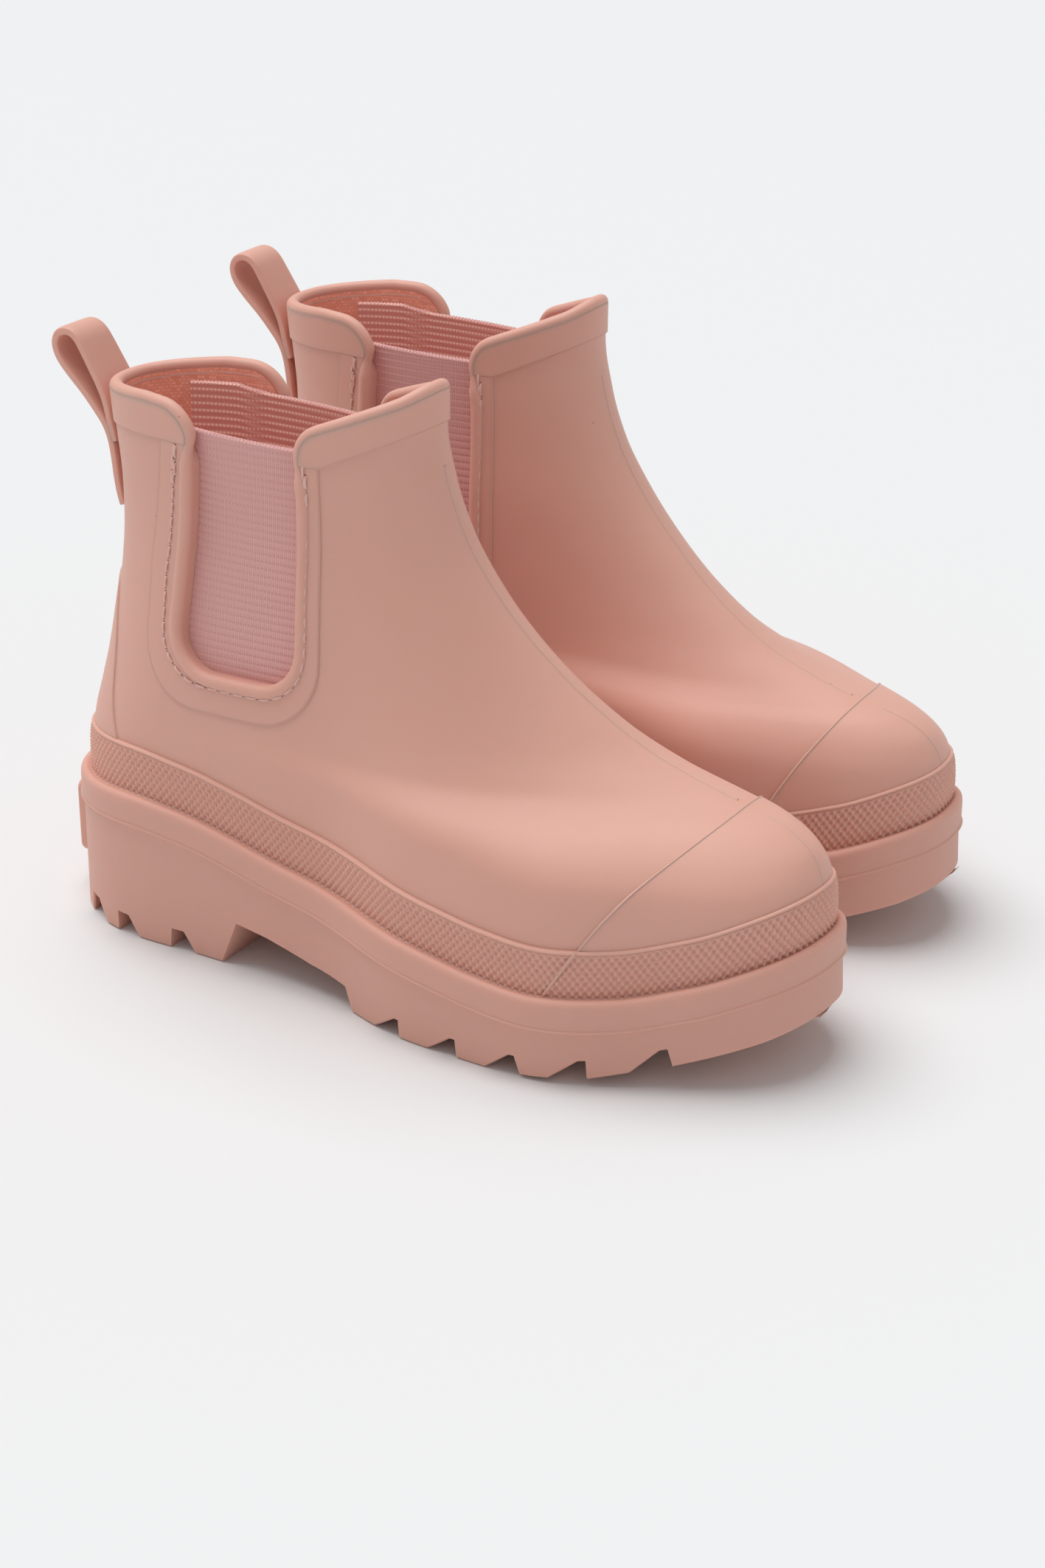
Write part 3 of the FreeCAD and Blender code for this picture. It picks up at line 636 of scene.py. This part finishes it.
def lining():
    """The knit inside the shell, facing the foot."""
    def knit(x, y, z):
        return np.minimum(open_edge(x, z) - EDGE_GAP, above_rim(x, z, BEHIND_RIM))
    return sheet(*cut_sheet(knit, 0.4, (160, 360)), LINED, flip=True)


def collar():
    """The bands round the top, the rounded rim on them, and the rolled lip round each gore."""
    def band(x, y, z):
        in_band = np.maximum(inside(FRONT_BAND, x, z), inside(BACK_BAND, x, z)) - STEP_WIDTH
        return np.minimum(open_edge(x, z) - 1.75, in_band)
    cut = cut_sheet(band, 10.0, (220, 900))
    parts = [sheet(*cut, BAND_TRIM)] + edge_strips(*cut, step_edge(BAND_TRIM))
    turn, level, tris = cut_sheet(lambda x, y, z: open_edge(x, z), 6.0, (260, 900))
    loop = max(loops_of(tris), key=lambda l: level[l].max())
    points, normals = on_upper(turn[loop], level[loop])
    path, normals = even(points, 0.6, normals)
    path, normals = blur(path, 1.5, 0, True), unit(blur(normals, 4, 0, True))
    outward = frame_along(path, normals, True, 4)
    round_edge, rolled = np.radians(np.linspace(120, -115, 15)), np.radians(np.linspace(192, -25, 15))
    rim = np.stack([-1.65 + 1.65 * np.cos(round_edge), -1.2 + 1.65 * np.sin(round_edge)], 1)
    lip = np.stack([-1.75 + 1.75 * np.cos(rolled), -0.5 + 1.8 * np.sin(rolled)], 1)
    rim, lip = np.vstack([rim, [-3.6, -3.1]]), np.vstack([lip, [-0.3, -3.3]])
    share = ease((129.5 - path[:, 2]) / 8)[:, None, None]
    parts.append(sweep(path, normals, outward, rim * (1 - share) + lip * share, True))
    return join(parts)


def gore_frames():
    """The raised frames round the gores."""
    def frames(x, y, z):
        return np.minimum(open_edge(x, z) - EDGE_GAP, inside(GORE_FRAME, x, z) - STEP_WIDTH)
    cut = cut_sheet(frames, 5.0, (260, 900))
    return join([sheet(*cut, TRIM)] + edge_strips(*cut, step_edge(TRIM)))


def toe_cap():
    """The skin over the toe, with a fine raised line along its edge."""
    def cap(x, y, z):
        return np.minimum(toe_line(x, y, z) - STEP_WIDTH, above_rim(x, z, FOXING - 1.5))
    cut = cut_sheet(cap, 1.0, (260, 700))
    return join([sheet(*cut, TRIM)] + edge_strips(*cut, step_edge(TRIM, 0.16)))


def heel_counter():
    """The skin over the heel."""
    def counter(x, y, z):
        return np.minimum(inside(HEEL_COUNTER, x, z) - STEP_WIDTH, above_rim(x, z, FOXING - 1.5))
    cut = cut_sheet(counter, 1.0, (260, 700))
    return join([sheet(*cut, TRIM)] + edge_strips(*cut, step_edge(TRIM)))


def around(rise, spacing):
    """Turns spread evenly round the upper, rise above the rim. Their number is even."""
    turn = np.linspace(0, TAU, 1500, endpoint=False)
    points, _ = on_upper(turn, band_spot(turn, rise))
    gaps = np.linalg.norm(np.diff(np.vstack([points, points[:1]]), axis=0), axis=1)
    run = np.concatenate([[0], np.cumsum(gaps)])
    count = 2 * int(run[-1] / spacing / 2)
    return np.interp(np.arange(count) / count * run[-1], run, np.append(turn, TAU))


LOZENGE, LOZENGE_POINTS = (1.842, 2.5), 6  # one lozenge's width and height, and the points across it


def foxing():
    """The band above the rim: staggered rows of small raised lozenges, with a plain raised edge over them."""
    turn = around(5.0, LOZENGE[0] / LOZENGE_POINTS)
    column = round(len(turn) / LOZENGE_POINTS) / len(turn) * np.arange(len(turn)) * TAU
    rows = []
    for height in np.linspace(-0.3, FOXING - 0.9, 27):
        swell = np.cos(column) * math.cos(TAU * height / LOZENGE[1])
        fade = float(ease((FOXING - 1.0 - height) / 0.6))
        rows.append(on_upper(turn, band_spot(turn, height), KNURL + fade * 0.5 * swell)[0])
    edge = [(FOXING - 0.75, KNURL - 0.2), (FOXING - 0.6, KNURL + 0.15), (FOXING - 0.3, KNURL + 0.25),
            (FOXING, KNURL + 0.1), (FOXING + 0.14, KNURL - 0.25), (FOXING + 0.2, -0.2)]
    rows += [on_upper(turn, band_spot(turn, r), up)[0] for r, up in edge]
    return grid_mesh(np.stack(rows), (False, True))


def bead(turn, level, rise, width, height):
    """A fine raised line along a path on the upper."""
    points, normals = on_upper(turn, level, rise)
    path, normals = even(points, 0.5, normals, closed=False)
    a = np.linspace(0, math.pi, 7)
    profile = np.stack([-width / 2 * np.cos(a), height * np.sin(a) - 0.05], 1)
    normals = unit(normals)
    return sweep(path, normals, frame_along(path, normals, False, 2), profile, False)


def toe_line_turn(rise, side):
    """The turn at which the toe cap's edge crosses a height above the rim."""
    turn = np.linspace(0.1, 1.7, 400) if side < 0 else TAU - np.linspace(0.1, 1.7, 400)
    p, _ = on_upper(turn, band_spot(turn, rise))
    return float(np.interp(0, -toe_line(*p.T), turn))


def mould_lines():
    """The toe cap's line where it crosses the knurled band, and the mould's parting line over the vamp."""
    parts = []
    rises = np.linspace(-0.2, FOXING + 0.3, 14)
    for side in (-1, 1):
        turn = np.array([toe_line_turn(r, side) for r in rises])
        level = np.array([float(band_spot(t, r)) for t, r in zip(turn, rises)])
        parts.append(bead(turn, level, KNURL + 0.05, 0.9, 0.42))
    high = np.linspace(6.3, 13.4, 60)
    parts.append(bead(np.zeros(60) + 1e-4, high, 0.0, 1.0, 0.22))
    low = np.linspace(float(band_spot(0.0, FOXING)), 5.6, 40)
    parts.append(bead(np.zeros(40) + 1e-4, low, TRIM, 0.9, 0.2))
    return join(parts)


FOOT = POINTS[int(round((N_LEVEL - 1) / (len(FRONT) - 1)))]


def foot_outline(turn):
    """Points and outward directions of the sole's outline, without its overhang, in plan."""
    def at(t):
        u = np.asarray(t) / TAU * N_TURN
        i = np.floor(u).astype(int)
        f = (u - i)[..., None]
        return FOOT[i % N_TURN, :2] * (1 - f) + FOOT[(i + 1) % N_TURN, :2] * f
    along = at(turn + 0.02) - at(turn - 0.02)
    return at(turn), unit(np.stack([-along[..., 1], along[..., 0]], -1))


def foot_points(turn, overhang, z):
    p, n = foot_outline(turn)
    p = p + np.asarray(overhang, float)[..., None] * n
    return np.concatenate([p, np.broadcast_to(z, p.shape[:-1])[..., None]], -1)


# The step at the foot of the rim's wall, and the rim's section as (overhang, height above the rim's top).
STEP_Z = -7.4
RIM_PROFILE = [(-0.6, 0.9), (0.6, 0.45), (1.25, 0.02), (1.6, -0.02), (2.0, 0.25), (2.5, 0.42), (3.0, 0.36),
               (3.45, 0.12), (3.78, -0.3), (3.95, -0.85), (4.02, -1.6), (4.02, -4.0), (3.98, -6.5),
               (4.3, -6.8), (4.4, -7.1), (4.1, -7.35), (3.7, STEP_Z - 0.1), (3.2, -7.6), (2.0, -7.7)]


def midsole():
    """The sole's rim: a rounded bead on top, a flat wall, and a fine ridge along its foot."""
    fine = np.linspace(0, TAU, 2000, endpoint=False)
    turn = even(foot_points(fine, 4.0, 0.0), 0.8, fine[:, None])[1][:, 0]
    turn[0] = 0.0
    top = glide(RIM_TOP, foot_outline(turn)[0][:, 0])
    grid = np.stack([foot_points(turn, np.full(len(turn), o), top + dz) for o, dz in RIM_PROFILE], 1)
    return grid_mesh(grid, (True, False))


# The bottom's height along the boot (x, z), where the notches' upright sides are, and the notches' sections,
# as steps from there.
GROUND = [(-120, 0), (-43.0, 0), (-38.3, 12), (-29.6, 10.7), (-16.4, 7.5), (-4.3, 5.9), (-2.4, 0), (36, 0),
          (48, 0.8), (60, 2.0), (75.5, 5.8), (84, 8.8), (92.7, 11.9), (98.6, 14.5), (106, 18.0)]
HEEL_NOTCHES, BALL_NOTCHES = (-84.6, -73.6, -57.5), (13.2, 28.8, 44.3, 59.4, 75.6)
HEEL_NOTCH = [(0, 0), (1e-4, 5.2), (3.4, 5.2), (6.6, 0)]
BALL_NOTCH = [(-8.0, 0), (-1.6, 4.6), (0, 4.6), (1e-4, 0)]


def tread(x):
    """The height of the sole's bottom along its edge: the ground line with the notches between the lugs."""
    z = np.interp(x, *np.array(GROUND, float).T)
    for at in HEEL_NOTCHES:
        z = z + np.interp(x - at, *np.array(HEEL_NOTCH).T) * (x >= at)
    for at in BALL_NOTCHES:
        z = z + np.interp(x - at, *np.array(BALL_NOTCH).T) * (x <= at)
    return z


def outsole():
    """The tread: notched walls, a plain strip along the middle, and the arch between heel and ball."""
    turn = np.linspace(0.0, math.pi, 260)
    x_front, x_back = FOOT[0, 0], FOOT[N_TURN // 2, 0]
    corners = [p[0] for p in GROUND[1:-1]]
    corners += [at + d for at in HEEL_NOTCHES for d in (-2e-4, 2e-4, 3.4, 6.6)]
    corners += [at + d for at in BALL_NOTCHES for d in (-8.0, -1.6, -2e-4, 2e-4)]
    extra = [math.acos((x - (x_front + x_back) / 2) / ((x_front - x_back) / 2)) for x in corners]
    turn = np.array(sorted(set(turn.tolist() + extra)))
    x = foot_outline(turn)[0][:, 0]
    top = glide(RIM_TOP, x) + STEP_Z - 0.1
    spine, edge = np.interp(x, *np.array(GROUND, float).T), tread(x)
    half = np.abs(foot_outline(turn)[0][:, 1])
    strip = np.minimum(9.0, half * 0.45)

    def wall(t, z):
        depth = np.maximum(top - z, 0)
        points = foot_points(t, 3.45 - 0.072 * depth, z)
        points[:, 0] *= 1 + 0.0012 * depth
        return points

    rows = []
    for hand, t in ((1, turn), (-1, TAU - turn)):
        foot = wall(t, edge)
        bevel = foot - np.concatenate([foot_outline(t)[1] * 0.5, np.zeros((len(t), 1))], 1)
        inner = np.stack([foot[:, 0], -hand * strip, edge], 1)
        down = np.stack([foot[:, 0], -hand * (strip - 0.3), spine], 1)
        side = [wall(t, top - share * (top - edge)) for share in (0, 0.3, 0.7)]
        side += [wall(t, edge + 0.5), bevel, inner, down]
        rows.append(side if hand > 0 else side[::-1])
    return grid_mesh(np.stack(rows[0] + rows[1], 1))


def footbed():
    """The insole's top, a little raised along both sides."""
    turn = np.linspace(0.03, math.pi - 0.03, 120)
    left, _ = on_upper(turn, band_spot(turn, -1.0), LINED - 0.15)
    right, _ = on_upper(TAU - turn, band_spot(TAU - turn, -1.0), LINED - 0.15)
    rows = []
    for f in np.linspace(0, 1, 17):
        p = left * (1 - f) + right * f
        p[:, 2] += 1.2 * abs(2 * f - 1) ** 3
        rows.append(p)
    return grid_mesh(np.stack(rows, 0))


# The elastic's ends, its lower edge, and its upper edge (x, z).
GORE_ENDS, GORE_FOOT = (-78.5, -17.5), 68
GORE_TOP = [(-78.5, 130.6), (-66, 131.0), (-57, 129.2), (-28, 128.7)]


def elastic(side):
    """One gore: a ribbed panel seen through the opening and from inside, closed all round.

    Its ends lie behind the rubber's edges. Its back end lies 1 mm deeper, so that it shows over the lining."""
    x = np.linspace(*GORE_ENDS, GORE_COLUMNS)
    top = np.interp(x, *np.array(GORE_TOP).T)
    bulge = ease((-57.5 - x) / 5)
    outer, inner = [], []
    for rising in np.linspace(0, 1, GORE_ROWS):
        z = GORE_FOOT + (top - GORE_FOOT) * rising
        rib = np.cos((top - z) / RIB * TAU)
        outer.append(on_upper(*spot(x, z, side), -3.35 - bulge + 0.05 * rib)[0])
        inner.append(on_upper(*spot(x, z, side), -4.85 - bulge - 0.08 * rib)[0])
    scallop = 0.16 * np.sin(x * TAU / DASH)
    fringe = [on_upper(*spot(x, top + up + scallop, side), off - bulge)[0]
              for up, off in ((0.25, -3.5), (0.45, -3.9), (0.45, -4.3), (0.25, -4.7))]
    rows = outer + fringe + inner[::-1]
    vertices, faces, normals = grid_mesh(np.stack(rows, 0), (True, False))
    faces = [list(f) for f in faces]
    for i in range(len(rows) // 2 - 1):  # the two ends
        front, back = i * GORE_COLUMNS, (len(rows) - 1 - i) * GORE_COLUMNS
        near = [front, front + GORE_COLUMNS, back - GORE_COLUMNS, back]
        faces += [near, [n + GORE_COLUMNS - 1 for n in near[::-1]]]
    mesh = vertices, faces, normals
    return mesh if side > 0 else outside_in(mesh)


def thread_run(path, normals, radius):
    """A round thread along points."""
    outward = frame_along(path, normals, False, 0)
    a = np.linspace(0, TAU, 7)[:-1]
    profile = np.stack([-radius * np.cos(a), radius * np.sin(a)], 1)
    grid = path[:, None] + profile[:, :1] * outward[:, None] + profile[:, 1:] * normals[:, None]
    return outside_in(grid_mesh(grid, (False, True)))


STITCH_PITCH, STITCH_LENGTH, THREAD_RADIUS = 3.6, 2.75, 0.3


def seam_stitches():
    """The stitches round each gore, doubled up at the seam's ends, and flat discs of painted shade at the needle
    holes they dip into.
    """
    random = np.random.default_rng(7)
    threads, holes = [], []
    line = outline(GORE_SEAM)[:-1]
    line = np.vstack([line, np.array(GORE_SEAM[-1][:2], float)])
    seam = even(line, 0.25, closed=False)[0]
    run = np.arange(len(seam)) * 0.25
    for side in (-1, 1):
        starts = np.arange(0.6, run[-1] - STITCH_PITCH, STITCH_PITCH)
        pieces = [(s, s + STITCH_LENGTH, 0.0) for s in starts]
        for end in (0.8, run[-1] - 9.5):
            pieces += [(end + k * 2.1, end + k * 2.1 + 3.2, 0.35 * (-1) ** k) for k in range(4)]
        for a, b, aside in pieces:
            u = np.linspace(0, 1, 6)
            x = np.interp(a + (b - a) * u, run, seam[:, 0]) + aside + random.normal(0, 0.06)
            z = np.interp(a + (b - a) * u, run, seam[:, 1])
            over = TRIM - 0.12 + 0.42 * np.sin(math.pi * u) ** 0.6
            path, normals = on_upper(*spot(x, z, side), over)
            threads.append(thread_run(path, normals, THREAD_RADIUS))
            # Painted shade: a flat dark disc lies over the needle hole at each end of a stitch.
            hole, up = on_upper(*spot(x[[0, -1]], z[[0, -1]], side), TRIM + 0.02)
            across = unit(np.cross(up, np.array([0.0, 1.0, 0.01])))
            upright = np.cross(up, across)
            ring = np.linspace(0, TAU, 9)[:-1]
            for c, e, g in zip(hole, across, upright):
                disc = c + THREAD_RADIUS * (np.cos(ring)[:, None] * e + np.sin(ring)[:, None] * g)
                holes.append((disc, np.arange(8)[None, :], np.repeat(up[:1], 8, 0)))
    return join(threads), join(holes)


# The pull loop's middle line (x, z), its half thickness, and its half width (z, y).
STRAP = [(-85.9, 102.5), (-86.9, 106), (-87.5, 110), (-88.0, 114), (-88.8, 118.4), (-90.3, 122.0),
         (-93.2, 125.6), (-97.0, 129.6), (-101.2, 133.4), (-104.3, 136.9), (-105.3, 139.9), (-104.2, 142.5),
         (-101.5, 143.4), (-98.8, 142.2), (-96.8, 139.4), (-94.2, 135.2), (-91.8, 131.2), (-90.1, 127.5),
         (-89.0, 123.0), (-87.6, 118)]
STRAP_THICK, STRAP_WIDE = 1.05, [(110, 6.9), (125, 6.4), (144, 5.6)]


def strap():
    """The pull loop and its tail: one band with soft edges."""
    points = np.array(STRAP, float)
    run = np.concatenate([[0], np.cumsum(np.linalg.norm(np.diff(points, axis=0), axis=1))])
    at = np.linspace(0, run[-1], 170)
    line = np.stack([glide(list(zip(run, points[:, k])), at) for k in (0, 1)], 1)
    line = blur(line, 2.5, 0, False)
    along = unit(np.gradient(line, axis=0))
    across = np.stack([-along[:, 1], along[:, 0]], 1)
    a = np.linspace(0, TAU, 37)[:-1]
    square = [np.sign(v) * np.abs(v) ** 0.32 for v in (np.cos(a), np.sin(a))]
    half = np.interp(line[:, 1], *np.array(STRAP_WIDE).T)
    grid = np.zeros((len(at), len(a), 3))
    grid[..., 0] = line[:, :1] + across[:, :1] * STRAP_THICK * square[1]
    grid[..., 2] = line[:, 1:] + across[:, 1:] * STRAP_THICK * square[1]
    grid[..., 1] = half[:, None] * square[0]
    return outside_in(grid_mesh(grid, (False, True)))


# The heel plate's section from the heel out, as (x, share of its outline): a raised edge round a sunk middle.
PLATE = [(-96.5, 1.0), (-102.4, 1.0), (-102.9, 0.985), (-103.1, 0.95), (-103.1, 0.86), (-102.75, 0.84),
         (-102.7, 0.8), (-102.7, 0.0)]


def badge():
    """A plain plate with rounded corners on the back of the heel."""
    ring = outline([(y, z, 2.5) for y, z in ((-10.5, 7.5), (10.5, 7.5), (10.5, 27.5), (-10.5, 27.5))])
    middle = np.array([0.0, 17.5])
    rows = []
    for x, size in PLATE:
        y, z = (middle + (ring - middle) * size).T
        rows.append(np.stack([np.full(len(y), x), y, z], 1))
    return grid_mesh(np.stack(rows), (False, True))


# Each piece of one boot: its mesh, finish and material slot, the nodes it stands for, and, where its normals
# come from its faces, the angle above which an edge is sharp.
BOOT = {
    "upper": (upper(), RUBBER, "moulded_upper", ("upper_shell", "back_panel"), None),
    "lining_knit": (lining(), LINING, "knit_lining", ("lining", "back_lining"), None),
    "collar_and_lip": (collar(), RUBBER, "moulded_upper", ("front_collar", "back_collar"), None),
    "gore_frames": (gore_frames(), RUBBER, "moulded_upper", ("gore_frame_outer", "gore_frame_inner"), None),
    "toe_cap_skin": (toe_cap(), RUBBER, "moulded_upper", ("toe_cap",), None),
    "heel_counter_skin": (heel_counter(), RUBBER, "moulded_upper", ("heel_counter",), None),
    "knurled_foxing": (foxing(), RUBBER, "moulded_upper", ("foxing_band",), None),
    "mould_lines": (mould_lines(), RUBBER, "moulded_upper", (), None),
    "sole_rim": (midsole(), SOLE_RUBBER, "moulded_sole", ("midsole",), None),
    "tread": (outsole(), SOLE_RUBBER, "moulded_sole", ("outsole",), 28),
    "heel_plate": (badge(), SOLE_RUBBER, "moulded_sole", ("heel_badge",), 40),
    "footbed": (footbed(), LINING, "footbed", ("insole",), None),
    "outer_gore": (elastic(-1), ELASTIC, "ribbed_elastic", ("gore_elastic_outer",), None),
    "inner_gore": (elastic(1), ELASTIC, "ribbed_elastic", ("gore_elastic_inner",), None),
}
threads, holes = seam_stitches()
STITCHED = ("gore_stitches_outer", "gore_stitches_inner", "back_stitches")
BOOT["stitching"] = (threads, THREAD, "thread", STITCHED, None)
BOOT["needle_holes"] = (holes, SHADE, "moulded_upper", (), None)
FIXED = {"toe_cap_skin", "knurled_foxing", "mould_lines", "sole_rim", "tread", "footbed", "heel_plate"}
STRAP_MESH = strap()

for side in ("right", "left"):
    for name, (mesh, finish, slot, nodes, angle) in BOOT.items():
        made = make(name, side, mesh, finish, angle)
        (stay if name in FIXED else bend_with_collar)(made, side, slot, *nodes)
    loop = make("pull_strap", side, STRAP_MESH, RUBBER)
    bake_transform(loop)
    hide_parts(f"{side}_loop_tab", f"{side}_pull_loop")

# ---- floor, light and camera ------------------------------------------------------------------------------
floor_data = bpy.data.meshes.new("floor")
floor_data.from_pydata([(-8, -8, 0), (8, -8, 0), (8, 8, 0), (-8, 8, 0)], [], [(0, 1, 2, 3)])
floor_data.materials.append(plain("matte_paper_floor", "e5e6e7", 0.9))
floor = bpy.data.objects.new("floor", floor_data)
bpy.context.scene.collection.objects.link(floor)

world = bpy.data.worlds.new("studio")
bpy.context.scene.world = world
world.use_nodes = True
world.node_tree.nodes["Background"].inputs["Color"].default_value = (1, 1, 1, 1)
world.node_tree.nodes["Background"].inputs["Strength"].default_value = 0.44


def sun(name, azimuth, elevation, strength, spread):
    """A soft sun shining from an azimuth, 0 from the -Y side and 90 from +X, at an elevation, in degrees."""
    data = bpy.data.lights.new(name, "SUN")
    data.energy, data.angle = strength, math.radians(spread)
    a, e = math.radians(azimuth), math.radians(elevation)
    back = Vector((math.sin(a) * math.cos(e), -math.cos(a) * math.cos(e), math.sin(e)))
    lamp = bpy.data.objects.new(name, data)
    lamp.rotation_mode = "QUATERNION"
    lamp.rotation_quaternion = back.to_track_quat("Z", "Y")
    bpy.context.scene.collection.objects.link(lamp)


sun("key", -100, 72, 2.25, 50)

AZIMUTH, ELEVATION = math.radians(31.93) - TOE_OUT / 2, math.radians(24.51)
camera_data = bpy.data.cameras.new("camera")
camera_data.sensor_width, camera_data.lens = 36.0, 69.33
camera_data.clip_start, camera_data.clip_end = 0.01, 50
camera = bpy.data.objects.new("camera", camera_data)
camera.location = at_side("right", 360.7, -541.32, 343.48)
back = Vector((math.sin(AZIMUTH) * math.cos(ELEVATION), -math.cos(AZIMUTH) * math.cos(ELEVATION),
               math.sin(ELEVATION)))
camera.rotation_mode = "QUATERNION"
camera.rotation_quaternion = back.to_track_quat("Z", "Y")
bpy.context.scene.collection.objects.link(camera)
bpy.context.scene.camera = camera
bpy.context.scene.view_settings.view_transform = "Standard"
